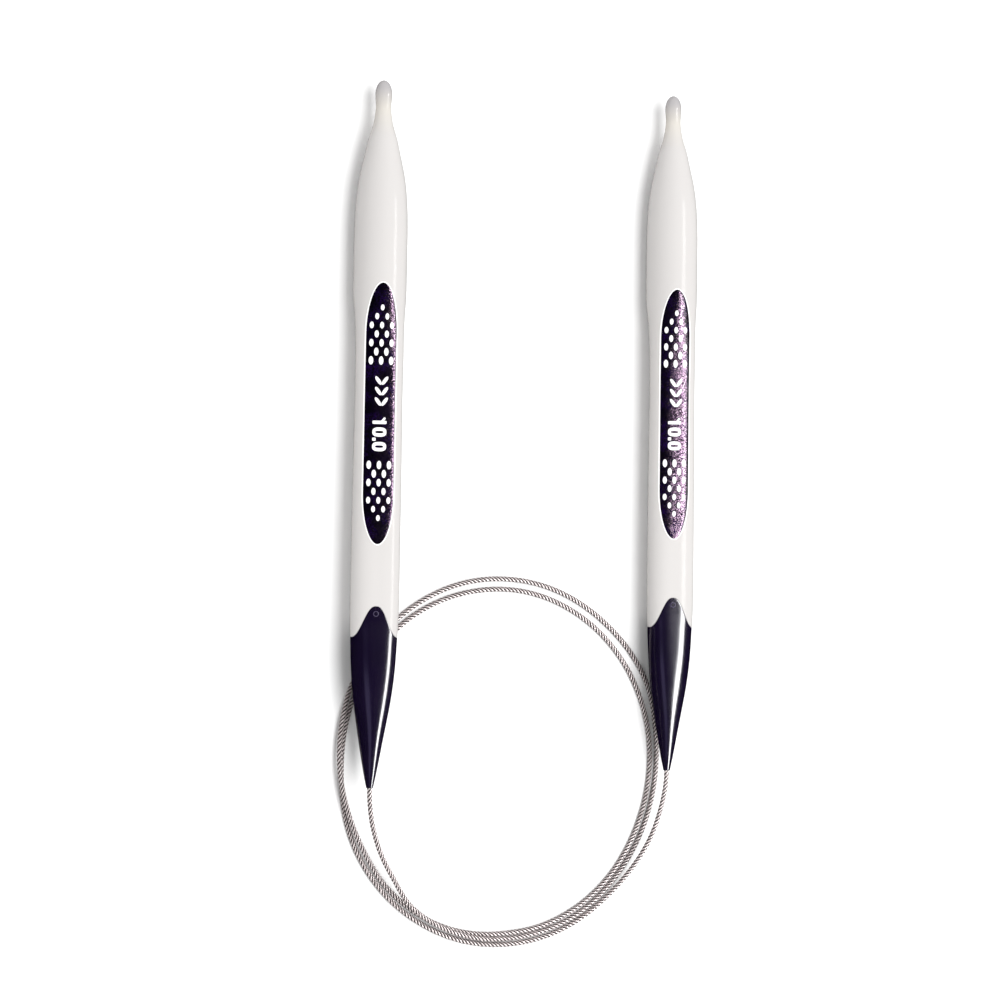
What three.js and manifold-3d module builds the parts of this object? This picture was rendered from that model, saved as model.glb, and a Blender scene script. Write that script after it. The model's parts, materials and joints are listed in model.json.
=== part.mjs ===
// Circular knitting needle, gauge 10 mm, 80 cm from tip to tip.
// Millimetres, +Z up. The needles lie along Y with their points at +Y, and the
// cable lies in two and a half loose turns on the plane Z = 0.
import * as THREE from 'three';
import * as BufferGeometryUtils from 'three/addons/utils/BufferGeometryUtils.js';
import Module from 'manifold-3d';

// ---- needle -----------------------------------------------------------------
const LENGTH = 132.1; // point to cable hole
const SIDES = 30; // facets round a needle
const BARREL_START = 29.5; // the full gauge is cylindrical between these stations
const BARREL_END = 39.5;
const BARREL_R = 5.0;
// Outer form: [distance from the point, mean radius, lobe depth]. The section is
// mean * (1 - lobe * cos 3(a - LOBE_TURN)), a round for lobe 0 and a soft
// triangle for 0.1.
const FORM = [
  [0.35, 0.78, 0], [1.1, 1.3, 0], [2.4, 1.57, 0], [3.7, 1.53, 0], [4.9, 1.4, 0], [6.3, 1.53, 0],
  [7.9, 1.77, 0], [9.3, 2.15, 0], [11.2, 2.75, 0], [15.0, 3.6, 0], [18.7, 4.35, 0], [22.4, 4.76, 0],
  [26.2, 4.95, 0], [BARREL_START, BARREL_R, 0], [BARREL_END, BARREL_R, 0], [43.0, 4.76, 0.025],
  [47.0, 4.5, 0.06], [51.5, 4.39, 0.09], [60.0, 4.32, 0.1], [69.0, 4.38, 0.1], [80.0, 4.42, 0.1],
  [97.0, 4.45, 0.1], [104.7, 4.24, 0.095], [107.7, 4.13, 0.09], [110.7, 3.97, 0.08], [113.6, 3.72, 0.065],
  [116.6, 3.36, 0.05], [119.6, 2.9, 0.03], [122.6, 2.4, 0.01], [125.6, 1.88, 0], [128.6, 1.38, 0],
  [130.8, 1.1, 0], [LENGTH - 0.2, 0.98, 0],
];
const LOBE_TURN = THREE.MathUtils.degToRad(5); // of the section's lobes from the panel's middle
const CORE_R = 2.0; // hollow core of the moulded body
const CORE_START = 20;
const CORE_CONE = 2;

// ---- sleeve -----------------------------------------------------------------
const SLEEVE_EDGE = 104.0; // the sleeve's front edge at the sides
const TONGUE = 5.85; // how far its tongues reach forward, front and back
const TONGUE_ANGLE = THREE.MathUtils.degToRad(37);
const TONGUE_POWER = 2.7;
const SEAM = 0.3; // gap between body and sleeve
const SPIGOT_R = 3.0;
const SPIGOT_END = 108.0;
const SOCKET_R = SPIGOT_R + SEAM;
const SOCKET_END = SPIGOT_END + SEAM;
const CHAMBER_R = 1.42; // room for the cable end
const CHAMBER_END = 126.8;
const HOLE_R = 0.72; // the cable's way out
const HOLE_START = 127.5;
const EDGE_FLAT = 94; // the last body station in front of the tongues

// ---- size panel -------------------------------------------------------------
const PANEL_START = 38.2;
const PANEL_END = 86.6;
const PANEL_HALF_WIDTH = 2.87;
const PANEL_TIP = 9.5; // half-ellipse ends
const PANEL_FLOOR = 3.15; // height of the inlay's flat back above the axis
const PANEL_GAP = 0.25;
const PANEL_TOP = 6; // above every surface, so the outer form trims it

// ---- cable ------------------------------------------------------------------
const CABLE_R = 0.5;
const CABLE_SIDES = 8;
const CABLE_STEPS = 80;
const FERRULE_R = 1.1;
const FERRULE_CRIMP_R = 0.95;
const FERRULE_FRONT = 120.3;
const FERRULE_LENGTH = 6.0;
const FERRULE_SOCKET_R = 0.7;
const FERRULE_SOCKET = 3.2;
const LAID_HEIGHT = CABLE_R; // centreline height where the cable lies flat

// ---- placing ----------------------------------------------------------------
// Each needle: its point, its lean towards -X at the rear, how far the rear is
// lifted, in degrees. The panels look up and 15 degrees towards -X.
const NEEDLES = {
  left: { point: [-29.43, 66.0, 4.751], lean: 1.46, lift: 0.43 },
  right: { point: [31.92, 66.08, 4.973], lean: 0.67, lift: 0 },
};
const ROLL = THREE.MathUtils.degToRad(-15);
const FACET_TURN = THREE.MathUtils.degToRad(-3); // lays one facet of each needle flat on the floor
const LOOP_CENTRE = [-3.0, -63.05];
// Stations along each needle's axis where the cable is held straight by the nose.
const NOSE_STATIONS = [123.5, 126, 129, LENGTH];
// The cable's way round between the two noses, counter-clockwise from the left
// one: [angle in degrees, radius, height] about LOOP_CENTRE.
const LOOSE_ROUTE = [
  [190.5, 30.24, 5.71], [197, 30.65, 5.55], [209, 31.2, 4.75], [221, 31.7, 3.5], [233, 33.0, 2.4],
  [246, 33.55, 1.7], [259, 33.95, 1.35], [266, 34.12, 1.0], [273, 34.2, 0.5], [286, 34.4, 0.5],
  [300, 34.45, 0.5], [325, 33.95, 0.5], [350, 33.55, 0.5], [368, 33.6, 0.5], [385, 34.25, 0.5],
  [412, 34.1, 0.5], [440, 34.75, 0.5], [465, 35.4, 0.5], [490, 35.5, 0.5], [510, 35.15, 0.5],
  [524, 34.75, 1.3], [540, 34.1, 1.7], [556, 33.3, 1.7], [570, 32.98, 1.3], [582, 33.12, 0.6],
  [592, 33.22, 0.5], [606, 33.35, 0.5], [619, 33.3, 0.5], [632, 33.15, 0.5], [646, 33.3, 0.5],
  [670, 33.1, 0.5], [700, 32.3, 0.5], [740, 31.85, 0.5], [775, 32.05, 0.5], [810, 33.05, 0.5],
  [848, 34.1, 0.5], [875, 33.7, 0.5], [900, 33.35, 0.5], [922, 33.9, 0.5], [945, 34.3, 0.5],
  [960, 34.55, 0.5], [975, 34.95, 0.5], [990, 35.27, 0.5], [1012, 35.6, 0.5], [1030, 35.3, 1.1],
  [1050, 34.65, 3.3], [1062, 34.0, 4.4], [1069.5, 33.7, 4.87],
];

const WHITE = { color: 0xe9e6e2, roughness: 0.28, metalness: 0 };
const AUBERGINE = { color: 0x17122c, roughness: 0.22, metalness: 0 };
const VIOLET = { color: 0x150f26, roughness: 0.35, metalness: 0.4 };
const STEEL = { color: 0xb9b3b2, roughness: 0.35, metalness: 1 };
const BRIGHT_STEEL = { color: 0xc8c6c4, roughness: 0.25, metalness: 1 };

const wasm = await Module();
wasm.setup();

// A closed mesh as a manifold-3d solid.
function toSolid(geometry) {
  const bare = geometry.clone();
  bare.deleteAttribute('normal');
  bare.deleteAttribute('uv');
  const merged = BufferGeometryUtils.mergeVertices(bare, 1e-5);
  return new wasm.Manifold(new wasm.Mesh({
    numProp: 3,
    vertProperties: new Float32Array(merged.attributes.position.array),
    triVerts: new Uint32Array(merged.index.array),
  }));
}

// A manifold-3d solid as a three.js geometry.
function toGeometry(solid) {
  const mesh = solid.getMesh();
  const geometry = new THREE.BufferGeometry();
  geometry.setAttribute('position', new THREE.BufferAttribute(new Float32Array(mesh.vertProperties), 3));
  geometry.setIndex(new THREE.BufferAttribute(new Uint32Array(mesh.triVerts), 1));
  geometry.computeVertexNormals();
  return geometry;
}

function named(name, geometry, finish) {
  const mesh = new THREE.Mesh(geometry, new THREE.MeshStandardMaterial(finish));
  mesh.name = name;
  return mesh;
}

// Mean radius and lobe depth at a distance s from the point.
function formAt(s) {
  const next = FORM.findIndex(([station]) => station >= s);
  if (next <= 0) {
    const [, radius, lobe] = next === 0 ? FORM[0] : FORM[FORM.length - 1];
    return { radius, lobe };
  }
  const [s0, r0, e0] = FORM[next - 1];
  const [s1, r1, e1] = FORM[next];
  const t = (s - s0) / (s1 - s0);
  return { radius: THREE.MathUtils.lerp(r0, r1, t), lobe: THREE.MathUtils.lerp(e0, e1, t) };
}

// Outer radius at station s and angle a from the panel's middle.
function outerRadius(s, a) {
  const { radius, lobe } = formAt(s);
  return radius * (1 - lobe * Math.cos(3 * (a - LOBE_TURN)));
}

// The sleeve's front edge: a tongue on the panel side and one opposite.
function sleeveEdge(a) {
  const fromTongue = Math.acos(Math.abs(Math.cos(a)));
  return SLEEVE_EDGE - TONGUE * Math.exp(-((fromTongue / TONGUE_ANGLE) ** TONGUE_POWER));
}

// The rings of a turned or lobed skin. ring(a) gives [station, radius].
// A needle's own frame has its point at the origin and its axis along -Y.
function skin(rings, { capFirst = null, capLast = null } = {}) {
  const points = [];
  const faces = [];
  for (const ring of rings) {
    for (let k = 0; k < SIDES; k += 1) {
      const a = (2 * Math.PI * k) / SIDES + FACET_TURN;
      const [s, r] = ring(a);
      points.push(r * Math.sin(a + ROLL), -s, r * Math.cos(a + ROLL));
    }
  }
  const at = (i, k) => (i % rings.length) * SIDES + (k % SIDES);
  const open = capFirst !== null;
  for (let i = 0; i < rings.length - (open ? 1 : 0); i += 1) {
    for (let k = 0; k < SIDES; k += 1) {
      faces.push(at(i, k), at(i + 1, k + 1), at(i, k + 1));
      faces.push(at(i, k), at(i + 1, k), at(i + 1, k + 1));
    }
  }
  if (open) {
    const first = points.length / 3;
    points.push(0, -capFirst, 0, 0, -capLast, 0);
    for (let k = 0; k < SIDES; k += 1) {
      faces.push(first, at(0, k), at(0, k + 1));
      faces.push(first + 1, at(rings.length - 1, k + 1), at(rings.length - 1, k));
    }
  }
  const geometry = new THREE.BufferGeometry();
  geometry.setAttribute('position', new THREE.Float32BufferAttribute(points, 3));
  geometry.setIndex(faces);
  return geometry;
}

const outerRing = (s) => (a) => [s, outerRadius(s, a)];
const roundRing = (s, r) => () => [s, r];
const edgeRing = (shift, radius) => (a) => {
  const s = sleeveEdge(a) + shift;
  return [s, radius ?? outerRadius(s, a)];
};

// An upright prism over the panel's outline, grown sideways by `grow`.
function panelPrism(bottom, grow) {
  const shape = new THREE.Shape();
  const halfWidth = PANEL_HALF_WIDTH + grow;
  const tip = PANEL_TIP + grow;
  shape.absellipse(0, -(PANEL_START + PANEL_TIP), halfWidth, tip, 0, Math.PI, false, 0);
  shape.absellipse(0, -(PANEL_END - PANEL_TIP), halfWidth, tip, Math.PI, 2 * Math.PI, false, 0);
  const height = PANEL_TOP - bottom;
  const geometry = new THREE.ExtrudeGeometry(shape, {
    depth: height,
    bevelEnabled: false,
    curveSegments: 14,
  });
  geometry.translate(0, 0, bottom);
  geometry.rotateY(ROLL);
  return toSolid(geometry);
}

function needleBody() {
  const stations = FORM.map(([s]) => s).filter((s) => s < EDGE_FLAT);
  const outline = skin([
    ...stations.map(outerRing),
    outerRing(EDGE_FLAT),
    edgeRing(-SEAM / 2),
    edgeRing(-SEAM / 2, SPIGOT_R),
    roundRing(SPIGOT_END, SPIGOT_R),
    roundRing(SPIGOT_END, CORE_R),
    roundRing(CORE_START + CORE_CONE, CORE_R),
  ], { capFirst: 0, capLast: CORE_START });
  return toGeometry(toSolid(outline).subtract(panelPrism(PANEL_FLOOR - PANEL_GAP, PANEL_GAP)));
}

function sizePanel() {
  const stations = FORM.map(([s]) => s).filter((s) => s >= BARREL_START && s < EDGE_FLAT);
  const blank = skin([
    ...stations.map(outerRing),
    outerRing(EDGE_FLAT),
    roundRing(EDGE_FLAT, CORE_R),
    roundRing(BARREL_START, CORE_R),
  ]);
  return toGeometry(toSolid(blank).intersect(panelPrism(PANEL_FLOOR, 0)));
}

function endSleeve() {
  const stations = FORM.map(([s]) => s).filter((s) => s > SLEEVE_EDGE + 1);
  return skin([
    edgeRing(SEAM / 2, SOCKET_R),
    edgeRing(SEAM / 2),
    ...stations.map(outerRing),
    roundRing(LENGTH, 0.86),
    roundRing(LENGTH, HOLE_R),
    roundRing(HOLE_START, HOLE_R),
    roundRing(CHAMBER_END, CHAMBER_R),
    roundRing(SOCKET_END, CHAMBER_R),
    roundRing(SOCKET_END, SOCKET_R),
  ]);
}

// Crimped cable end with a blind socket for the cable, opening to the rear.
function cableFerrule() {
  const rear = FERRULE_FRONT + FERRULE_LENGTH;
  const profile = [
    [0, FERRULE_FRONT], [0.8, FERRULE_FRONT], [FERRULE_R, FERRULE_FRONT + 0.4],
    [FERRULE_R, FERRULE_FRONT + 1.8], [FERRULE_CRIMP_R, FERRULE_FRONT + 2.2],
    [FERRULE_CRIMP_R, FERRULE_FRONT + 4.2], [FERRULE_R, FERRULE_FRONT + 4.6],
    [FERRULE_R, rear], [FERRULE_SOCKET_R, rear],
    [FERRULE_SOCKET_R, rear - FERRULE_SOCKET], [0, rear - FERRULE_SOCKET],
  ];
  const points = profile.map(([r, s]) => new THREE.Vector2(r, -s)).reverse();
  return new THREE.LatheGeometry(points, 16);
}

// The route's stop on a needle's axis at station s. Its angle is the one within
// half a turn of `near`.
function noseStop({ point, lean, lift }, s, near) {
  const leaning = THREE.MathUtils.degToRad(lean);
  const lifted = THREE.MathUtils.degToRad(lift);
  const x = point[0] - s * Math.sin(leaning) * Math.cos(lifted) - LOOP_CENTRE[0];
  const y = point[1] - s * Math.cos(leaning) * Math.cos(lifted) - LOOP_CENTRE[1];
  const angle = THREE.MathUtils.radToDeg(Math.atan2(y, x));
  const turns = Math.round((near - angle) / 360);
  return [angle + 360 * turns, Math.hypot(x, y), point[2] + s * Math.sin(lifted)];
}

// All the stops, from inside the left nose to inside the right one.
function wholeRoute() {
  const [firstAngle] = LOOSE_ROUTE[0];
  const [lastAngle] = LOOSE_ROUTE[LOOSE_ROUTE.length - 1];
  return [
    ...NOSE_STATIONS.map((s) => noseStop(NEEDLES.left, s, firstAngle)),
    ...LOOSE_ROUTE,
    ...NOSE_STATIONS.toReversed().map((s) => noseStop(NEEDLES.right, s, lastAngle)),
  ];
}

// The cable's centreline: a smooth curve through the route in polar form, with a
// straight run into each ferrule.
class CableLine extends THREE.Curve {
  constructor() {
    super();
    const stops = wholeRoute().map(([angle, radius, height]) => new THREE.Vector3(angle, radius, height));
    this.polar = new THREE.CatmullRomCurve3(stops, false, 'catmullrom', 0.5);
  }

  getPoint(t, target = new THREE.Vector3()) {
    const { x: angle, y: radius, z: height } = this.polar.getPoint(t);
    const turn = THREE.MathUtils.degToRad(angle);
    return target.set(
      LOOP_CENTRE[0] + radius * Math.cos(turn),
      LOOP_CENTRE[1] + radius * Math.sin(turn),
      Math.max(height, LAID_HEIGHT),
    );
  }
}

function cable() {
  const section = new THREE.Shape();
  for (let k = 0; k < CABLE_SIDES; k += 1) {
    const a = (2 * Math.PI * (k + 0.5)) / CABLE_SIDES;
    const x = CABLE_R * Math.cos(a);
    const y = CABLE_R * Math.sin(a);
    if (k === 0) section.moveTo(x, y);
    else section.lineTo(x, y);
  }
  section.closePath();
  return new THREE.ExtrudeGeometry(section, { steps: CABLE_STEPS, extrudePath: new CableLine() });
}

function needle(side, { point, lean, lift }) {
  const group = new THREE.Group();
  group.add(
    named(`${side}_needle_body`, needleBody(), WHITE),
    named(`${side}_size_panel`, sizePanel(), VIOLET),
    named(`${side}_end_sleeve`, endSleeve(), AUBERGINE),
    named(`${side}_cable_ferrule`, cableFerrule(), BRIGHT_STEEL),
  );
  group.position.set(...point);
  group.rotation.set(
    THREE.MathUtils.degToRad(-lift),
    0,
    THREE.MathUtils.degToRad(-lean),
    'ZXY',
  );
  return group;
}

const circularNeedle = new THREE.Group();
for (const [side, place] of Object.entries(NEEDLES)) circularNeedle.add(needle(side, place));
circularNeedle.add(named('cable', cable(), STEEL));

export default circularNeedle;
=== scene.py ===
# Circular knitting needle, gauge 10 mm: two white polymer needles with dark
# sleeves, joined by a loosely coiled steel cable. Metres, +Z up.
import json
import math

import bmesh
import bpy
import numpy as np
from mathutils import Matrix, Vector


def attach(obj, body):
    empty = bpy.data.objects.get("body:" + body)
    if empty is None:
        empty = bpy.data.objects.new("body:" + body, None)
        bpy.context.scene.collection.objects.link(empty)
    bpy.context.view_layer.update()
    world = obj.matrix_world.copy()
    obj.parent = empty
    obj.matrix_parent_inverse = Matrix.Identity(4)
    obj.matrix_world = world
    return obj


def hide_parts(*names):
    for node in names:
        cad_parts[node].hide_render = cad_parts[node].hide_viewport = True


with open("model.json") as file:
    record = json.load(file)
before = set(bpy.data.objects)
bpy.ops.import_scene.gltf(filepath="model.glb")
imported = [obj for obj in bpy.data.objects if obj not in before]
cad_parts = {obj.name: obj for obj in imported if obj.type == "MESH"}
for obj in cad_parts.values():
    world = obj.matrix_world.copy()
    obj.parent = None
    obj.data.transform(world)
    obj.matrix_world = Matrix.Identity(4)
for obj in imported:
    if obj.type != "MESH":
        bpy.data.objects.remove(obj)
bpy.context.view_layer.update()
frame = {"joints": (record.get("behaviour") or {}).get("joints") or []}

MM = 0.001
SIDES = ("left", "right")

# ---- sizes of a needle, in metres, as distances from its point ---------------
LENGTH = 132.1 * MM
ROLL = math.radians(-15)  # which way the size panel looks, from straight up
LOBE_TURN = math.radians(5)  # of the section's lobes from the panel's middle
# The drop at the point: half an ellipse of revolution
DROP_LENGTH = 2.6 * MM
DROP_R = 1.57 * MM
# [distance from the point, mean radius, lobe depth], in mm. The section is
# mean * (1 - lobe * cos 3(a - LOBE_TURN)), a round for lobe 0 and a soft
# triangle for 0.1.
FORM = (
    (2.6, 1.57, 0), (3.7, 1.53, 0), (4.9, 1.41, 0), (5.6, 1.45, 0), (6.4, 1.54, 0), (7.9, 1.77, 0),
    (9.3, 2.15, 0), (11.2, 2.75, 0), (13.1, 3.17, 0), (15.0, 3.6, 0), (16.8, 4.0, 0), (18.7, 4.35, 0),
    (20.6, 4.6, 0), (22.4, 4.76, 0), (24.3, 4.88, 0), (26.2, 4.95, 0), (29.5, 5.0, 0), (39.5, 5.0, 0),
    (41.2, 4.92, 0.01), (43.0, 4.76, 0.025), (45.0, 4.6, 0.045), (47.0, 4.5, 0.06), (51.5, 4.39, 0.09),
    (60.0, 4.32, 0.1), (69.0, 4.38, 0.1), (80.0, 4.42, 0.1), (97.0, 4.45, 0.1),
    (101.0, 4.4, 0.1), (104.7, 4.24, 0.095), (107.7, 4.13, 0.09), (110.7, 3.97, 0.08),
    (113.6, 3.72, 0.065), (116.6, 3.36, 0.05), (119.6, 2.9, 0.03), (122.6, 2.4, 0.01), (125.6, 1.88, 0),
    (128.6, 1.34, 0), (130.3, 1.02, 0), (131.3, 0.8, 0), (132.1, 0.64, 0),
)
FORM_BLUR = 0.5 * MM  # evens out the bends between the listed stations
CORE_R = 2.0 * MM
CORE_START = 20 * MM
CORE_CONE = 2 * MM
SLEEVE_EDGE = 104.0 * MM
TONGUE = 5.85 * MM
TONGUE_ANGLE = math.radians(37)
TONGUE_POWER = 2.7
SEAM = 0.05 * MM  # open line between the body and the sleeve
EDGE_ROUND = 0.12 * MM
SPIGOT_R = 3.0 * MM
SPIGOT_END = 108.0 * MM
SOCKET_R = 3.3 * MM
SOCKET_END = 108.3 * MM
CHAMBER_R = 1.42 * MM
CHAMBER_END = 126.8 * MM
HOLE_R = 0.54 * MM
HOLE_START = 127.5 * MM
NOSE_ROUND = 0.12 * MM
EDGE_FLAT = 94 * MM  # the last ring of the body that is square to its axis
SLEEVE_FLAT = 110 * MM  # and the first of the sleeve

PANEL_START = 38.2 * MM
PANEL_END = 86.6 * MM
PANEL_HALF_WIDTH = 2.87 * MM
PANEL_TIP = 9.5 * MM
PANEL_FLOOR = 3.15 * MM
PANEL_GAP = 0.04 * MM
PANEL_SINK = 0.02 * MM  # how far the panel's face lies below the body's
PANEL_ROUND = 0.06 * MM
# The rim is a low bead whose bright line is a painted highlight, in a white brighter than the body.
RIM_WIDTH = 0.24 * MM  # the bright line round the panel
RIM_LIFT = 0.03 * MM

BAND_DEPTH = 0.05 * MM  # how far a raised band reaches into the surface

# ---- print on the panel, and the mark on the sleeve --------------------------
PRINT_LIFT = 0.03 * MM
PRINT_DEPTH = 0.06 * MM
DOT_PITCH = 1.9 * MM
ROW_PITCH = 1.637 * MM
DOT_ROWS = (1, 2, 3, 2, 3, 2, 3)  # of the front block, and backwards of the rear one
FRONT_DOTS = 42.77 * MM
REAR_DOTS = 71.95 * MM
STITCH_START = 56.3 * MM
STITCH_MIDDLE = 0.2 * MM
STITCH_PITCH = 1.95 * MM
LEAF_SIZE = (0.66 * MM, 1.85 * MM)
LEAF_OFFSET = 0.62 * MM
LEAF_SLANT = 36  # degrees
NOUGHT_LENGTH = 1.74 * MM
NOUGHT_STROKE = 0.56 * MM
NOUGHT_POWER = 2.7
NOUGHT_CAP = 1.15  # stroke at its top and bottom, as a share of that at its sides
GATE_PLACE = 99.5 * MM
GATE_R = 0.45 * MM
GATE_WIDTH = 0.09 * MM
GATE_LIFT = 0.04 * MM

# ---- cable -------------------------------------------------------------------
CABLE_STEP = 0.22 * MM
# One strand's share of the section, from one groove to the next
STRAND_RADII = (0.33, 0.42, 0.475, 0.5, 0.475, 0.42)
STRANDS = 4
LAY = 3.2 * MM  # one turn of a strand
LAID_HEIGHT = 0.5
LOOP_CENTRE = (-3.0, -63.05)
# Stations along each needle's axis where the nose holds the cable straight
NOSE_STATIONS = (123.5 * MM, 126 * MM, 129 * MM, LENGTH)
# [angle in degrees, radius, height], in mm, about LOOP_CENTRE: the same route
# as the CAD cable's, from the left nose to the right one
LOOSE_ROUTE = (
    (190.5, 30.24, 5.71), (197, 30.65, 5.55), (209, 31.2, 4.75), (221, 31.7, 3.5), (233, 33.0, 2.4),
    (246, 33.55, 1.7), (259, 33.95, 1.35), (266, 34.12, 1.0), (273, 34.2, 0.5), (286, 34.4, 0.5),
    (300, 34.45, 0.5), (325, 33.95, 0.5), (350, 33.55, 0.5), (368, 33.6, 0.5), (385, 34.25, 0.5),
    (412, 34.1, 0.5), (440, 34.75, 0.5), (465, 35.4, 0.5), (490, 35.5, 0.5), (510, 35.15, 0.5),
    (524, 34.75, 1.3), (540, 34.1, 1.7), (556, 33.3, 1.7), (570, 32.98, 1.3), (582, 33.12, 0.6),
    (592, 33.22, 0.5), (606, 33.35, 0.5), (619, 33.3, 0.5), (632, 33.15, 0.5), (646, 33.3, 0.5),
    (670, 33.1, 0.5), (700, 32.3, 0.5), (740, 31.85, 0.5), (775, 32.05, 0.5), (810, 33.05, 0.5),
    (848, 34.1, 0.5), (875, 33.7, 0.5), (900, 33.35, 0.5), (922, 33.9, 0.5), (945, 34.3, 0.5),
    (960, 34.55, 0.5), (975, 34.95, 0.5), (990, 35.27, 0.5), (1012, 35.6, 0.5), (1030, 35.3, 1.1),
    (1050, 34.65, 3.3), (1062, 34.0, 4.4), (1069.5, 33.7, 4.87),
)


# ---- sizes of the set --------------------------------------------------------
CAMERA_TILT = math.radians(25)  # to the needles' left
CAMERA_DISTANCE = 0.5465
CAMERA_AIM = Vector((-3.3 * MM, 0.05 * MM, 0))
CAMERA_LENS = 102.24  # for a sensor 36 wide
CAMERA_SHIFT = -0.067
FLOOR_HALF = 3.0

# Where the white polymer's tint changes, as Y in the row frame. Both needles'
# points are near 0.066.
NECK_FADE = (0.0555, 0.0615)
DROP_FADE = (0.0605, 0.0645)


# ---- camera, floor and light -------------------------------------------------
def turned_to(x, y, z):
    """The rotation whose axes are x, y and z."""
    return Matrix((x, y, z)).transposed().to_4x4()


def make_camera():
    """Half a metre off, square to the needles and 25 degrees to their left."""
    across = Vector((math.cos(CAMERA_TILT), 0, math.sin(CAMERA_TILT)))
    up = Vector((0, 1, 0))
    back = across.cross(up)
    data = bpy.data.cameras.new("camera")
    data.sensor_width = 36
    data.lens = CAMERA_LENS
    data.shift_y = CAMERA_SHIFT
    camera = bpy.data.objects.new("camera", data)
    place = back * CAMERA_DISTANCE + CAMERA_AIM
    camera.matrix_world = Matrix.Translation(place) @ turned_to(across, up, back)
    bpy.context.scene.collection.objects.link(camera)
    bpy.context.scene.camera = camera


def make_light(name, place, size, watts, colour=(1, 1, 1), mirrored=True, lighting=True):
    """An area light at place, facing the origin; size is its length across and
    along Y. mirrored: shows in reflections. lighting: lights matt surfaces."""
    data = bpy.data.lights.new(name, "AREA")
    data.shape = "RECTANGLE"
    data.size, data.size_y = size
    data.energy = watts
    data.color = colour
    lamp = bpy.data.objects.new(name, data)
    away = Vector(place).normalized()
    side = Vector((0, 1, 0)).cross(away).normalized()
    along = away.cross(side)
    lamp.matrix_world = Matrix.Translation(Vector(place)) @ turned_to(side, along, away)
    lamp.visible_glossy = mirrored
    lamp.visible_diffuse = lighting
    bpy.context.scene.collection.objects.link(lamp)


def make_studio():
    """Soft light from all round and above, and lamps that only show as
    reflections: the long strip, a cool one on the left and one in front."""
    scene = bpy.context.scene
    scene.view_settings.view_transform = "Standard"
    world = bpy.data.worlds.new("studio")
    world.use_nodes = True
    world.node_tree.nodes["Background"].inputs["Color"].default_value = (1, 1, 1, 1)
    world.node_tree.nodes["Background"].inputs["Strength"].default_value = 0.72
    world.cycles_visibility.glossy = False
    scene.world = world
    make_light("overhead", (0.15, 0.0, 0.9), (0.6, 0.9), 8.6, mirrored=False)
    make_light("strip", (0.085, -0.05, 0.12), (0.042, 0.3), 0.43, lighting=False)
    make_light("cool", (-0.2, -0.18, 0.33), (0.16, 0.15), 0.022, (0.62, 0.55, 1), lighting=False)
    make_light("front", (0.0, -0.5, 0.14), (0.8, 0.2), 1.0, lighting=False)
    make_floor()


def make_floor():
    """A plain pale floor that reflections don't show."""
    floor_mesh = bpy.data.meshes.new("floor")
    half = FLOOR_HALF
    floor_mesh.from_pydata(
        [(-half, -half, 0), (half, -half, 0), (half, half, 0), (-half, half, 0)], [], [(0, 1, 2, 3)]
    )
    floor = bpy.data.objects.new("floor", floor_mesh)
    bpy.context.scene.collection.objects.link(floor)
    white = bpy.data.materials.new("floor_white")
    white.use_nodes = True
    shader = white.node_tree.nodes["Principled BSDF"]
    shader.inputs["Base Color"].default_value = (0.93, 0.93, 0.93, 1)
    shader.inputs["Roughness"].default_value = 0.9
    shader.inputs["Specular IOR Level"].default_value = 0.0
    floor_mesh.materials.append(white)
    floor.visible_glossy = False


# ---- materials ---------------------------------------------------------------
class Nodes:
    """A material's node tree, with short calls to add and join nodes."""

    def __init__(self, name):
        self.material = bpy.data.materials.new(name)
        self.material.use_nodes = True
        self.tree = self.material.node_tree
        self.shader = self.tree.nodes["Principled BSDF"]

    def add(self, kind, inputs=None, **settings):
        node = self.tree.nodes.new(kind)
        for key, value in settings.items():
            setattr(node, key, value)
        for key, value in (inputs or {}).items():
            self.put(node.inputs[key], value)
        return node

    def put(self, socket, value):
        if isinstance(value, bpy.types.NodeSocket):
            self.tree.links.new(value, socket)
        else:
            socket.default_value = value

    def set(self, **values):
        for key, value in values.items():
            self.put(self.shader.inputs[key.replace("_", " ")], value)

    def place(self):
        return self.add("ShaderNodeTexCoord").outputs["Object"]

    def noise(self, scale, detail=2.0):
        inputs = {"Vector": self.place(), "Scale": scale, "Detail": detail}
        return self.add("ShaderNodeTexNoise", inputs).outputs["Fac"]

    def span(self, value, low, high, to_low, to_high):
        inputs = {"Value": value, "From Min": low, "From Max": high, "To Min": to_low, "To Max": to_high}
        return self.add("ShaderNodeMapRange", inputs).outputs["Result"]

    def mix(self, factor, first, second):
        node = self.add("ShaderNodeMix", data_type="RGBA")
        self.put(node.inputs[0], factor)
        self.put(node.inputs[6], first)
        self.put(node.inputs[7], second)
        return node.outputs[2]

    def maths(self, operation, first, second=0.0):
        node = self.add("ShaderNodeMath", operation=operation)
        self.put(node.inputs[0], first)
        self.put(node.inputs[1], second)
        return node.outputs[0]

    def move(self, operation, first, second=(0, 0, 0)):
        """Vector arithmetic."""
        node = self.add("ShaderNodeVectorMath", operation=operation)
        self.put(node.inputs[0], first)
        self.put(node.inputs[1], second)
        return node.outputs[0]

    def bump(self, height, strength, distance):
        inputs = {"Height": height, "Strength": strength, "Distance": distance}
        return self.add("ShaderNodeBump", inputs).outputs["Normal"]


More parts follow.
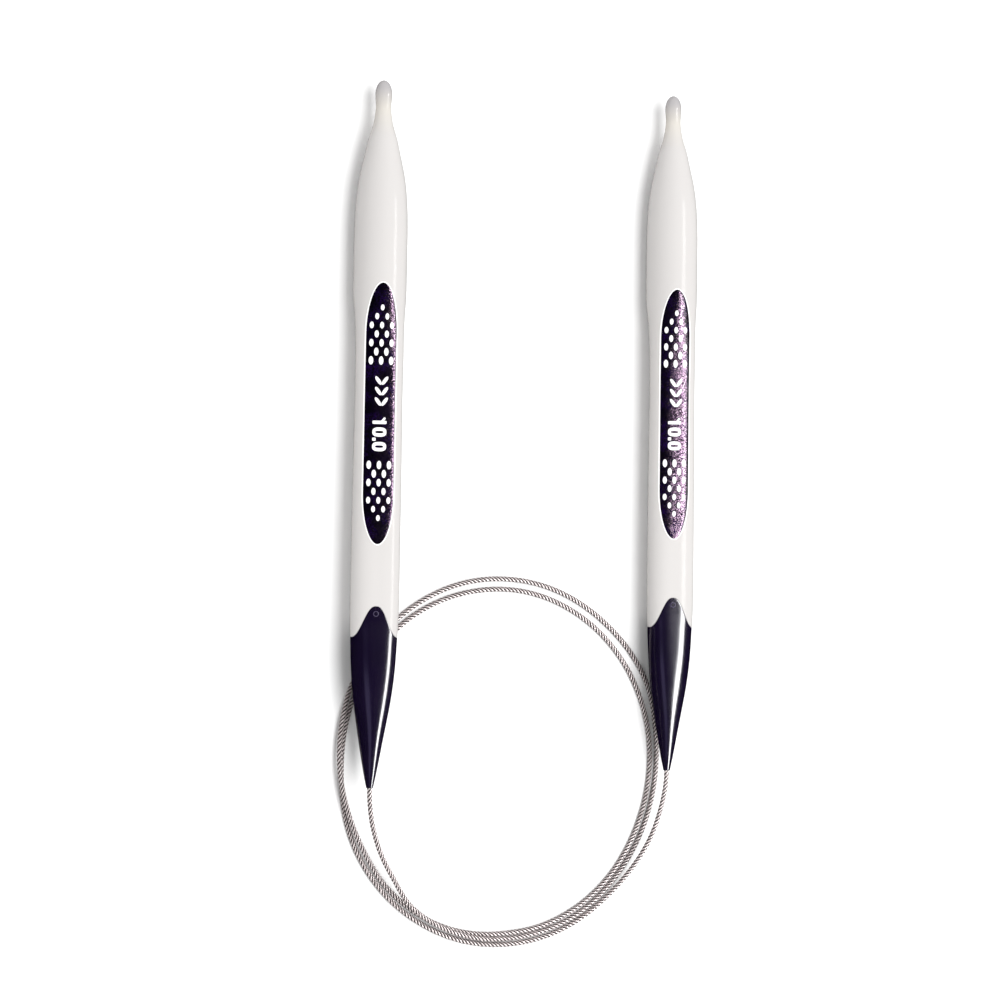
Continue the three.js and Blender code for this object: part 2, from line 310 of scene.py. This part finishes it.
def white_polymer():
    """Warm white, greyer and clearer at the drop, a breath yellower at its neck."""
    n = Nodes("white_polymer")
    along = n.add("ShaderNodeSeparateXYZ", {"Vector": n.place()}).outputs["Y"]
    cloud = n.mix(n.noise(45), (0.555, 0.537, 0.527, 1), (0.58, 0.562, 0.551, 1))
    neck = n.span(along, *NECK_FADE, 0.0, 1.0)
    drop = n.span(along, *DROP_FADE, 0.0, 1.0)
    tinted = n.mix(neck, cloud, (0.59, 0.56, 0.51, 1))
    n.set(
        Base_Color=n.mix(drop, tinted, (0.43, 0.415, 0.42, 1)),
        Roughness=n.span(n.noise(30), 0.3, 0.7, 0.13, 0.16),
        Normal=n.bump(n.noise(400), 0.02, 0.01 * MM),
        Coat_Weight=drop,
    )
    n.set(Specular_IOR_Level=0.12)
    return n.material


def rim_painted_highlight():
    # Painted highlight: a white far brighter than the body's, standing in for the bright line of light round
    # the panel.
    n = Nodes("rim_painted_highlight")
    n.set(
        Base_Color=n.mix(n.noise(400), (0.93, 0.925, 0.92, 1), (0.97, 0.965, 0.96, 1)),
        Roughness=n.span(n.noise(900), 0.3, 0.7, 0.25, 0.35),
    )
    n.set(Coat_Weight=0.3, Coat_Roughness=0.1)
    return n.material


def dark_polymer():
    """Near-black aubergine, very glossy, with the faint flow of a moulding."""
    n = Nodes("dark_polymer")
    n.set(
        Base_Color=n.mix(n.noise(180), (0.0032, 0.0012, 0.0115, 1), (0.007, 0.0022, 0.0215, 1)),
        Roughness=n.span(n.noise(120), 0.3, 0.7, 0.17, 0.21),
        Normal=n.bump(n.noise(900), 0.03, 0.01 * MM),
    )
    n.set(IOR=2.2)
    return n.material


def violet_panel():
    """Black-violet lacquer over fine lilac metal flake, which only shows where
    it mirrors a lamp."""
    n = Nodes("violet_panel")
    cells = n.add("ShaderNodeTexVoronoi", {"Vector": n.place(), "Scale": 8500.0})
    shade = n.add("ShaderNodeSeparateColor", {"Color": cells.outputs["Color"]})
    flake = n.maths("GREATER_THAN", shade.outputs["Red"], 0.45)
    tint = n.mix(shade.outputs["Green"], (0.085, 0.042, 0.086, 1), (0.29, 0.222, 0.276, 1))
    blotch = n.span(n.noise(420, 3.0), 0.42, 0.68, 0.0, 1.0)
    ground = n.mix(blotch, (0.0022, 0.0008, 0.007, 1), (0.009, 0.0012, 0.036, 1))
    centred = n.move("SUBTRACT", cells.outputs["Color"], (0.5, 0.5, 0.5))
    lean = n.move("MULTIPLY", centred, (0.22, 0.22, 0.22))
    flat = n.add("ShaderNodeNewGeometry").outputs["Normal"]
    n.set(
        Base_Color=n.mix(flake, ground, tint),
        Metallic=flake,
        Roughness=n.span(shade.outputs["Blue"], 0.0, 1.0, 0.16, 0.26),
        Normal=n.move("NORMALIZE", n.move("ADD", flat, lean)),
    )
    n.set(Specular_IOR_Level=0.2, Coat_Weight=0.15, Coat_Roughness=0.08)
    return n.material


def mark_white():
    n = Nodes("mark_white")
    n.set(
        Base_Color=n.mix(n.noise(900), (0.90, 0.895, 0.885, 1), (0.96, 0.955, 0.95, 1)),
        Roughness=n.span(n.noise(1500), 0.3, 0.7, 0.28, 0.4),
    )
    n.set(Coat_Weight=0.2, Coat_Roughness=0.12)
    return n.material


def gate_violet():
    n = Nodes("gate_violet")
    n.set(
        Base_Color=n.mix(n.noise(1200), (0.035, 0.027, 0.062, 1), (0.06, 0.047, 0.095, 1)),
        Roughness=n.span(n.noise(2500), 0.3, 0.7, 0.3, 0.45),
    )
    return n.material


def steel_rope():
    """Stranded steel, bright on the strands' crests, with painted shade: near black between them, where shade
    falls in the grooves.
    """
    n = Nodes("steel_rope")
    crest_and_groove_shade = n.add("ShaderNodeAttribute", attribute_name="crest_and_groove_shade").outputs["Fac"]
    wire = n.mix(n.noise(900), (0.70, 0.61, 0.605, 1), (0.92, 0.84, 0.83, 1))
    n.set(
        # Painted shade: the grooves between the strands go near black.
        Base_Color=n.mix(n.span(crest_and_groove_shade, 0.45, 0.9, 0.0, 1.0), (0.012, 0.006, 0.006, 1), wire),
        Roughness=n.span(n.noise(1800), 0.3, 0.7, 0.22, 0.36),
        Normal=n.bump(n.noise(4200), 0.15, 0.02 * MM),
    )
    n.set(Metallic=0.4)
    return n.material


def satin_steel():
    n = Nodes("satin_steel")
    n.set(
        Base_Color=n.mix(n.noise(900), (0.52, 0.51, 0.50, 1), (0.66, 0.65, 0.64, 1)),
        Roughness=n.span(n.noise(3000), 0.3, 0.7, 0.25, 0.42),
        Normal=n.bump(n.noise(6000), 0.1, 0.01 * MM),
    )
    n.set(Metallic=1.0)
    return n.material


# ---- the needle's form -------------------------------------------------------
def smooth_through(xs, ys):
    """A curve through the points that never overshoots them."""
    xs, ys = np.array(xs), np.array(ys)
    step = np.diff(xs)
    slope = np.diff(ys) / step
    tangent = np.zeros_like(ys)
    same = slope[:-1] * slope[1:] > 0
    w1, w2 = 2 * step[1:] + step[:-1], step[1:] + 2 * step[:-1]
    with np.errstate(divide="ignore", invalid="ignore"):
        tangent[1:-1] = np.where(same, (w1 + w2) / (w1 / slope[:-1] + w2 / slope[1:]), 0.0)
    tangent[0], tangent[-1] = slope[0], slope[-1]

    def curve(x):
        i = np.clip(np.searchsorted(xs, x) - 1, 0, len(step) - 1)
        t = (x - xs[i]) / step[i]
        return (
            ys[i] * (1 + 2 * t) * (1 - t) ** 2
            + tangent[i] * step[i] * t * (1 - t) ** 2
            + ys[i + 1] * t * t * (3 - 2 * t)
            + tangent[i + 1] * step[i] * t * t * (t - 1)
        )

    return curve


def blurred(curve):
    """The curve sampled finely along the needle and evened out."""
    step = 0.1 * MM
    xs = np.arange(FORM[0][0] * MM, LENGTH + step, step)
    reach = int(3 * FORM_BLUR / step)
    kernel = np.exp(-0.5 * (np.arange(-reach, reach + 1) * step / FORM_BLUR) ** 2)
    ys = np.pad(curve(xs), reach, mode="reflect", reflect_type="odd")
    ys = np.convolve(ys, kernel / kernel.sum(), mode="valid")
    return lambda x: np.interp(x, xs, ys)


STATIONS = [s * MM for s, _, _ in FORM]
MEAN_R = blurred(smooth_through(STATIONS, [r * MM for _, r, _ in FORM]))
LOBE = blurred(smooth_through(STATIONS, [e for _, _, e in FORM]))


def outer_radius(s, a):
    return MEAN_R(s) * (1 - LOBE(s) * np.cos(3 * (a - LOBE_TURN)))


def sleeve_edge(a):
    """Where the sleeve begins, at angle a from the panel's middle."""
    from_tongue = np.arccos(np.clip(np.abs(np.cos(a)), 0, 1))
    return SLEEVE_EDGE - TONGUE * np.exp(-((from_tongue / TONGUE_ANGLE) ** TONGUE_POWER))


def spot(s, a, r):
    """Points in the needle's own frame: point at the origin, axis along -Y."""
    s, a, r = np.broadcast_arrays(s, a, r)
    return np.stack([r * np.sin(a + ROLL), -s, r * np.cos(a + ROLL)], axis=-1)


def outer_normal(s, a):
    """The outer surface's outward normals, in the needle's own frame."""
    ds, da = 0.02 * MM, 0.002
    along = spot(s + ds, a, outer_radius(s + ds, a)) - spot(s - ds, a, outer_radius(s - ds, a))
    around = spot(s, a + da, outer_radius(s, a + da)) - spot(s, a - da, outer_radius(s, a - da))
    normal = np.cross(along, around)
    return normal / np.linalg.norm(normal, axis=-1, keepdims=True)


def over_face(x, s, lift):
    """Points above the panel side's outer surface, x to the right of its middle
    and s from the needle's point, lifted along the surface's normal."""
    x, s, lift = np.broadcast_arrays(x, s, lift)
    a = np.arcsin(np.clip(x / outer_radius(s, 0 * x), -1, 1))
    for _ in range(12):
        a = np.arcsin(np.clip(x / outer_radius(s, a), -1, 1))
    return spot(s, a, outer_radius(s, a)) + outer_normal(s, a) * lift[..., None]


# ---- building meshes ---------------------------------------------------------
def needle_place(side):
    """From the needle's own frame to the row frame, by its swivel joint."""
    joint = next(j for j in frame["joints"] if j["name"] == f"{side}_swivel")
    ahead = Vector(joint["axis"]).normalized()
    across = ahead.cross(Vector((0, 0, 1))).normalized()
    up = across.cross(ahead)
    point = Vector(joint["pos_m"]) + ahead * LENGTH
    return Matrix.Translation(point) @ turned_to(across, ahead, up)


def make_piece(name, points, faces, material, slot, body):
    mesh = bpy.data.meshes.new(name)
    mesh.from_pydata([tuple(p) for p in points], [], faces)
    mesh.materials.append(material)
    piece = bpy.data.objects.new(name, mesh)
    bpy.context.scene.collection.objects.link(piece)
    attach(piece, body)
    return piece


def loft(rings, first=None, last=None, closed=False):
    """Quads between rings of points. first and last are poles that cap it."""
    rings = np.array(rings)
    count, around = rings.shape[:2]
    points = [tuple(p) for p in rings.reshape(-1, 3)]
    faces = []
    for i in range(count if closed else count - 1):
        low, high = i * around, ((i + 1) % count) * around
        for k in range(around):
            n = (k + 1) % around
            faces.append((low + k, high + k, high + n, low + n))
    if first is not None:
        points.append(tuple(first))
        faces += [(len(points) - 1, k, (k + 1) % around) for k in range(around)]
    if last is not None:
        points.append(tuple(last))
        base = (count - 1) * around
        faces += [(len(points) - 1, base + (k + 1) % around, base + k) for k in range(around)]
    return points, faces


def angles(count):
    return np.arange(count) * 2 * math.pi / count


def quarter(steps):
    """Angles of a rounded edge, without its ends."""
    return [math.pi / 2 * (k + 1) / (steps + 1) for k in range(steps)]


def body_outline(around=120):
    a = angles(around)
    ones = np.ones_like(a)
    rings = []
    for turn in np.linspace(0, math.pi / 2, 15)[1:-1]:
        rings.append(spot(DROP_LENGTH * (1 - math.cos(turn)) * ones, a, DROP_R * math.sin(turn)))
    for s in np.concatenate([np.arange(FORM[0][0], 12, 0.2), np.arange(12, EDGE_FLAT / MM + 0.01, 0.5)]) * MM:
        rings.append(spot(s * ones, a, outer_radius(s * ones, a)))
    edge = sleeve_edge(a) - SEAM / 2
    for t in np.linspace(0, 1, 25)[1:]:
        s = EDGE_FLAT + (edge - EDGE_ROUND - EDGE_FLAT) * t
        rings.append(spot(s, a, outer_radius(s, a)))
    for turn in quarter(3):
        s = edge - EDGE_ROUND * (1 - math.sin(turn))
        rings.append(spot(s, a, outer_radius(s, a) - EDGE_ROUND * (1 - math.cos(turn))))
    rings.append(spot(edge, a, outer_radius(edge, a) - EDGE_ROUND))
    rings.append(spot(edge, a, SPIGOT_R * ones))
    rings.append(spot(SPIGOT_END * ones, a, SPIGOT_R))
    rings.append(spot(SPIGOT_END * ones, a, CORE_R))
    rings.append(spot((CORE_START + CORE_CONE) * ones, a, CORE_R))
    return loft(rings, first=(0, 0, 0), last=(0, -CORE_START, 0))


def sleeve_outline(around=120):
    a = angles(around)
    ones = np.ones_like(a)
    edge = sleeve_edge(a) + SEAM / 2
    rings = [spot(edge, a, SOCKET_R * ones), spot(edge, a, outer_radius(edge, a) - EDGE_ROUND)]
    for turn in quarter(3):
        s = edge + EDGE_ROUND * (1 - math.cos(turn))
        rings.append(spot(s, a, outer_radius(s, a) - EDGE_ROUND * (1 - math.sin(turn))))
    for t in np.linspace(0, 1, 25)[:-1]:
        s = edge + EDGE_ROUND + (SLEEVE_FLAT - edge - EDGE_ROUND) * t
        rings.append(spot(s, a, outer_radius(s, a)))
    for s in np.arange(SLEEVE_FLAT, LENGTH - NOSE_ROUND, 0.35 * MM):
        rings.append(spot(s * ones, a, outer_radius(s * ones, a)))
    lip = float(MEAN_R(LENGTH - NOSE_ROUND))
    for turn in quarter(4):
        s = LENGTH - NOSE_ROUND * (1 - math.sin(turn))
        rings.append(spot(s * ones, a, lip - NOSE_ROUND * (1 - math.cos(turn))))
    rings.append(spot(LENGTH * ones, a, HOLE_R))
    rings.append(spot(HOLE_START * ones, a, HOLE_R))
    rings.append(spot(CHAMBER_END * ones, a, CHAMBER_R))
    rings.append(spot(SOCKET_END * ones, a, CHAMBER_R))
    rings.append(spot(SOCKET_END * ones, a, SOCKET_R))
    return loft(rings, closed=True)


def panel_outline(grow):
    """The panel's outline as arrays (x, s, spine): a long slot with elliptical
    ends. spine is the point of the panel's middle line beside each point."""
    straight = (PANEL_END - PANEL_START) / 2 - PANEL_TIP
    run = np.linspace(0, 1, 31)[:-1]
    bend = np.linspace(0, math.pi / 2, 31)
    x = (PANEL_HALF_WIDTH + grow) * np.concatenate([np.ones(30), np.cos(bend)])
    spine = straight * np.concatenate([run, np.ones(31)])
    s = spine + (PANEL_TIP + grow) * np.concatenate([np.zeros(30), np.sin(bend)])
    # the right side's rear half, then the left side's, then both front halves
    x = np.concatenate([x, -x[-2::-1]])[:-1]
    s = np.concatenate([s, s[-2::-1]])[:-1]
    spine = np.concatenate([spine, spine[-2::-1]])[:-1]
    middle = (PANEL_START + PANEL_END) / 2
    return (
        np.concatenate([x, -x]),
        middle + np.concatenate([s, -s]),
        middle + np.concatenate([spine, -spine]),
    )


def above_axis(x, s, height):
    """Points at x and height on the flat that faces the panel's side."""
    x, s, height = np.broadcast_arrays(x, s, height)
    across = x * math.cos(ROLL) + height * math.sin(ROLL)
    up = height * math.cos(ROLL) - x * math.sin(ROLL)
    return np.stack([across, -s, up], axis=-1)


def panel_rings():
    """The panel from the middle line of its face, over its edge, to its back."""
    x, s, spine = panel_outline(-PANEL_ROUND)
    rings = []
    for share in (0, 0.15, 0.3, 0.45, 0.6, 0.75, 0.88, 1):
        rings.append(over_face(share * x, spine + share * (s - spine), -PANEL_SINK))
    for turn in quarter(2):
        x, s, spine = panel_outline(-PANEL_ROUND * (1 - math.sin(turn)))
        rings.append(over_face(x, s, -PANEL_SINK - PANEL_ROUND * (1 - math.cos(turn))))
    x, s, spine = panel_outline(0)
    rings.append(over_face(x, s, -PANEL_SINK - PANEL_ROUND))
    rings.append(above_axis(x, s, PANEL_FLOOR))
    rings.append(above_axis(0, spine, PANEL_FLOOR))
    return rings


def band_rings(edge, width, height):
    """A low rounded band on the outer surface. edge(grow) gives arrays (x, s)."""
    rings = []
    for turn in np.linspace(0, math.pi, 7):
        x, s = edge(width / 2 * (1 - math.cos(turn)))
        rings.append(over_face(x, s, height * math.sin(turn) ** 0.6))
    x, s = edge(width)
    rings.append(over_face(x, s, -BAND_DEPTH))
    x, s = edge(0)
    rings.append(over_face(x, s, -BAND_DEPTH))
    return rings


def superellipse(across, along, power, count):
    """An outline as arrays (x, s) about its middle. power 2 makes an ellipse, and
    a higher one makes it squarer."""
    turn = angles(count)
    cosine, sine = np.cos(turn), np.sin(turn)
    x = across * np.sign(cosine) * np.abs(cosine) ** (2 / power)
    return x, along * np.sign(sine) * np.abs(sine) ** (2 / power)


def cushion(x, s, outline):
    """A printed shape around the point (x, s): low, with a soft edge."""
    px, ps = outline
    rings = []
    for share in (0.2, 0.4, 0.6, 0.8, 0.93):
        rings.append(over_face(x + share * px, s + share * ps, PRINT_LIFT))
    for share, lift in ((0.985, 0.7), (1, 0)):
        rings.append(over_face(x + share * px, s + share * ps, lift * PRINT_LIFT))
    rings.append(over_face(x + px, s + ps, -PRINT_DEPTH))
    rings.append(over_face(x + 0.5 * px, s + 0.5 * ps, -PRINT_DEPTH))
    return loft(rings, over_face(x, s, PRINT_LIFT), over_face(x, s, -PRINT_DEPTH))


def oval(x, s, across, along, power=2.0, slant=0.0, count=32):
    """A printed oval or rounded bar, slant in degrees."""
    px, ps = superellipse(across / 2, along / 2, power, count)
    cosine, sine = math.cos(math.radians(slant)), math.sin(math.radians(slant))
    return cushion(x, s, (px * cosine - ps * sine, px * sine + ps * cosine))


def nought(x, s, across, count=48):
    """A printed zero: the ring between two rounded outlines."""
    along, stroke = NOUGHT_LENGTH, NOUGHT_STROKE
    outer = np.array(superellipse(across / 2, along / 2, NOUGHT_POWER, count))
    inner = np.array(superellipse(across / 2 - stroke, along / 2 - stroke * NOUGHT_CAP, NOUGHT_POWER, count))
    rings = []
    heights = (-PRINT_DEPTH, 0, PRINT_LIFT * 0.7, PRINT_LIFT, PRINT_LIFT, PRINT_LIFT * 0.7, 0, -PRINT_DEPTH)
    for share, lift in zip((0, 0, 0.03, 0.15, 0.85, 0.97, 1, 1), heights):
        px, ps = inner + share * (outer - inner)
        rings.append(over_face(x + px, s + ps, lift))
    return loft(rings, closed=True)


def joined(parts):
    """Several shapes' points and faces as those of one."""
    points, faces = [], []
    for part_points, part_faces in parts:
        base = len(points)
        points += [tuple(p) for p in part_points]
        faces += [tuple(base + i for i in face) for face in part_faces]
    return points, faces


def dot_block(first, rows, growth):
    """Staggered rows of ovals from station first. growth gives (across, along)."""
    parts = []
    for i, count in enumerate(rows):
        across, along = growth(i / (len(rows) - 1))
        for k in range(count):
            x = (k - (count - 1) / 2) * DOT_PITCH
            parts.append(oval(x, first + i * ROW_PITCH, across, along))
    return parts


def front_growth(share):
    """A dot's size, from the block's outer end (share 0) to its inner one (1)."""
    return (0.7 + 0.15 * share) * MM, (1.1 + 0.45 * share) * MM


def rear_growth(share):
    return front_growth(1 - share)


def stitch_column(first):
    """Three knit stitches, each a pair of leaning leaves."""
    parts = []
    for i in range(3):
        for side in (-1, 1):
            x = STITCH_MIDDLE + side * LEAF_OFFSET
            s = first + i * STITCH_PITCH
            parts.append(oval(x, s, *LEAF_SIZE, 2.2, side * LEAF_SLANT))
    return parts


def size_number():
    """10.0, read towards the sleeve, with its foot on the panel's left side."""
    foot, head = -1.38 * MM, 1.28 * MM
    middle, tall = (foot + head) / 2, head - foot
    return [
        oval(middle, 64.05 * MM, tall, 0.62 * MM, 8),
        oval(head - 0.6 * MM, 63.55 * MM, 0.42 * MM, 1.0 * MM, 4, 40),
        nought(middle, 65.85 * MM, tall),
        oval(foot + 0.33 * MM, 67.2 * MM, 0.66 * MM, 0.62 * MM, 5),
        nought(middle, 68.55 * MM, tall),
    ]


def gate_ring():
    """The round mark of the moulding gate on the sleeve's tongue."""
    t = angles(36)
    rings = []
    for turn in np.linspace(0, 2 * math.pi, 9)[:-1]:
        r = GATE_R + GATE_WIDTH * math.cos(turn)
        lift = GATE_LIFT * math.sin(turn)
        rings.append(over_face(r * np.sin(t), GATE_PLACE + r * np.cos(t), lift))
    return loft(rings, closed=True)


# ---- needles -----------------------------------------------------------------
def cut_recess(body):
    """Takes the panel's recess out of a body that is still in its own frame."""
    x, s, _ = panel_outline(PANEL_GAP)
    bottom, top = PANEL_FLOOR - PANEL_GAP, 6 * MM
    points, faces = loft([above_axis(x, s, bottom), above_axis(x, s, top)])
    count = len(x)
    faces += [tuple(range(count)), tuple(range(2 * count - 1, count - 1, -1))]
    mesh = bpy.data.meshes.new("recess_cutter")
    mesh.from_pydata([tuple(p) for p in points], [], faces)
    face_outwards(mesh)
    cutter = bpy.data.objects.new("recess_cutter", mesh)
    bpy.context.scene.collection.objects.link(cutter)
    cut = body.modifiers.new("recess", "BOOLEAN")
    cut.operation = "DIFFERENCE"
    cut.solver = "EXACT"
    cut.object = cutter
    shape = bpy.data.meshes.new_from_object(body.evaluated_get(bpy.context.evaluated_depsgraph_get()))
    body.modifiers.clear()
    old = body.data
    body.data = shape
    bpy.data.meshes.remove(old)
    bpy.data.objects.remove(cutter)


def face_outwards(mesh):
    """Welds points that share a place, and turns every face outwards."""
    work = bmesh.new()
    work.from_mesh(mesh)
    bmesh.ops.remove_doubles(work, verts=work.verts, dist=1e-7)
    bmesh.ops.recalc_face_normals(work, faces=work.faces)
    work.to_mesh(mesh)
    work.free()


def build_needle(side, finish):
    place = needle_place(side)
    body_name = f"{side}_needle"

    def piece(name, shape, material, slot, replaced=None, sharp=None):
        made = make_piece(f"{side}_{name}", *shape, finish[material], slot, body_name)
        face_outwards(made.data)
        if name == "body":
            cut_recess(made)
        made.data.transform(place)
        made.data.shade_smooth()
        if sharp:
            made.data.set_sharp_from_angle(angle=math.radians(sharp))
        if replaced:
            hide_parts(f"{side}_{replaced}")
        return made

    piece("body", body_outline(), "white", "white_polymer", "needle_body", 32)
    piece("panel", loft(panel_rings()), "violet", "violet_panel", "size_panel", 50)
    piece("sleeve", sleeve_outline(), "dark", "dark_polymer", "end_sleeve", 38)
    # The panel's rim: a low bead whose white is a painted highlight.
    rim = loft(band_rings(lambda grow: panel_outline(0.01 * MM + grow)[:2], RIM_WIDTH, RIM_LIFT), closed=True)
    piece("panel_rim", rim, "rim", "white_polymer")
    dots = dot_block(FRONT_DOTS, DOT_ROWS, front_growth)
    dots += dot_block(REAR_DOTS, DOT_ROWS[::-1], rear_growth)
    print_parts = dots + stitch_column(STITCH_START) + size_number()
    piece("panel_print", joined(print_parts), "mark", "white_polymer", sharp=50)
    piece("gate_mark", gate_ring(), "gate", "dark_polymer")


# ---- cable -------------------------------------------------------------------
def nose_stops(side, near):
    """The route's stops on a needle's axis. Their angles are the ones within
    half a turn of near."""
    stops = []
    for station in NOSE_STATIONS:
        x, y, z = (needle_place(side) @ Vector((0, -station, 0))) / MM
        x -= LOOP_CENTRE[0]
        y -= LOOP_CENTRE[1]
        angle = math.degrees(math.atan2(y, x))
        angle += 360 * round((near - angle) / 360)
        stops.append((angle, math.hypot(x, y), z))
    return stops


def route_points(per_span=160):
    """The route as even Catmull-Rom spans in polar form, in metres."""
    start = nose_stops("left", LOOSE_ROUTE[0][0])
    end = nose_stops("right", LOOSE_ROUTE[-1][0])[::-1]
    stops = np.array([*start, *LOOSE_ROUTE, *end])
    stops = np.vstack([2 * stops[0] - stops[1], stops, 2 * stops[-1] - stops[-2]])
    t = np.linspace(0, 1, per_span, endpoint=False)[:, None]
    spans = []
    for i in range(1, len(stops) - 2):
        before, here, there, after = stops[i - 1:i + 3]
        leaving, arriving = (there - before) / 2, (after - here) / 2
        bend = (2 * here - 2 * there + leaving + arriving) * t ** 3
        bend += (3 * there - 3 * here - 2 * leaving - arriving) * t ** 2
        spans.append(bend + leaving * t + here)
    polar = np.vstack(spans + [stops[-2:-1]])
    turn = np.radians(polar[:, 0])
    x = LOOP_CENTRE[0] + polar[:, 1] * np.cos(turn)
    y = LOOP_CENTRE[1] + polar[:, 1] * np.sin(turn)
    return np.stack([x, y, np.maximum(polar[:, 2], LAID_HEIGHT)], axis=1) * MM


def evenly_spaced(points, step):
    run = np.concatenate([[0], np.cumsum(np.linalg.norm(np.diff(points, axis=0), axis=1))])
    count = int(round(run[-1] / step))
    marks = np.linspace(0, run[-1], count + 1)
    return np.stack([np.interp(marks, run, points[:, k]) for k in range(3)], axis=1), marks


def rope_rings(path, marks):
    """The lobed section of the strands, turning right-handed along the path."""
    tangent = np.gradient(path, axis=0)
    tangent /= np.linalg.norm(tangent, axis=1, keepdims=True)
    radii = np.tile(STRAND_RADII, STRANDS) * MM
    around = angles(len(radii))
    side = np.cross(tangent[0], (0, 0, 1))
    rings = []
    for centre, ahead, mark in zip(path, tangent, marks):
        side = side - ahead * np.dot(side, ahead)
        side /= np.linalg.norm(side)
        up = np.cross(side, ahead)
        a = around + 2 * math.pi * mark / LAY
        rings.append(centre + np.outer(radii * np.cos(a), side) - np.outer(radii * np.sin(a), up))
    return rings


def mark_crests(mesh, ring_count):
    """Stores how far out each point lies: 0 between the strands, 1 on them. The rope material paints shade in
    the grooves from it.
    """
    radii = np.array(STRAND_RADII)
    share = np.tile((radii - radii.min()) / (radii.max() - radii.min()), STRANDS)
    values = np.append(np.tile(share, ring_count), (1.0, 1.0))
    mesh.attributes.new("crest_and_groove_shade", "FLOAT", "POINT").data.foreach_set("value", values)


def build_cable(finish):
    path, marks = evenly_spaced(route_points(), CABLE_STEP)
    shape = loft(rope_rings(path, marks), path[0], path[-1])
    cable = make_piece("cable_rope", *shape, finish["rope"], "steel_cable", "cable")
    face_outwards(cable.data)
    mark_crests(cable.data, len(path))
    cable.data.shade_smooth()
    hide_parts("cable")


# ---- scene -------------------------------------------------------------------
make_camera()
make_studio()
FINISH = {
    "white": white_polymer(),
    "rim": rim_painted_highlight(),
    "dark": dark_polymer(),
    "violet": violet_panel(),
    "mark": mark_white(),
    "gate": gate_violet(),
    "rope": steel_rope(),
    "ferrule": satin_steel(),
}
build_cable(FINISH)
for needle_side in SIDES:
    build_needle(needle_side, FINISH)
    ferrule = bpy.data.objects[f"{needle_side}_cable_ferrule"]
    for material_slot in ferrule.material_slots:
        material_slot.material = FINISH["ferrule"]
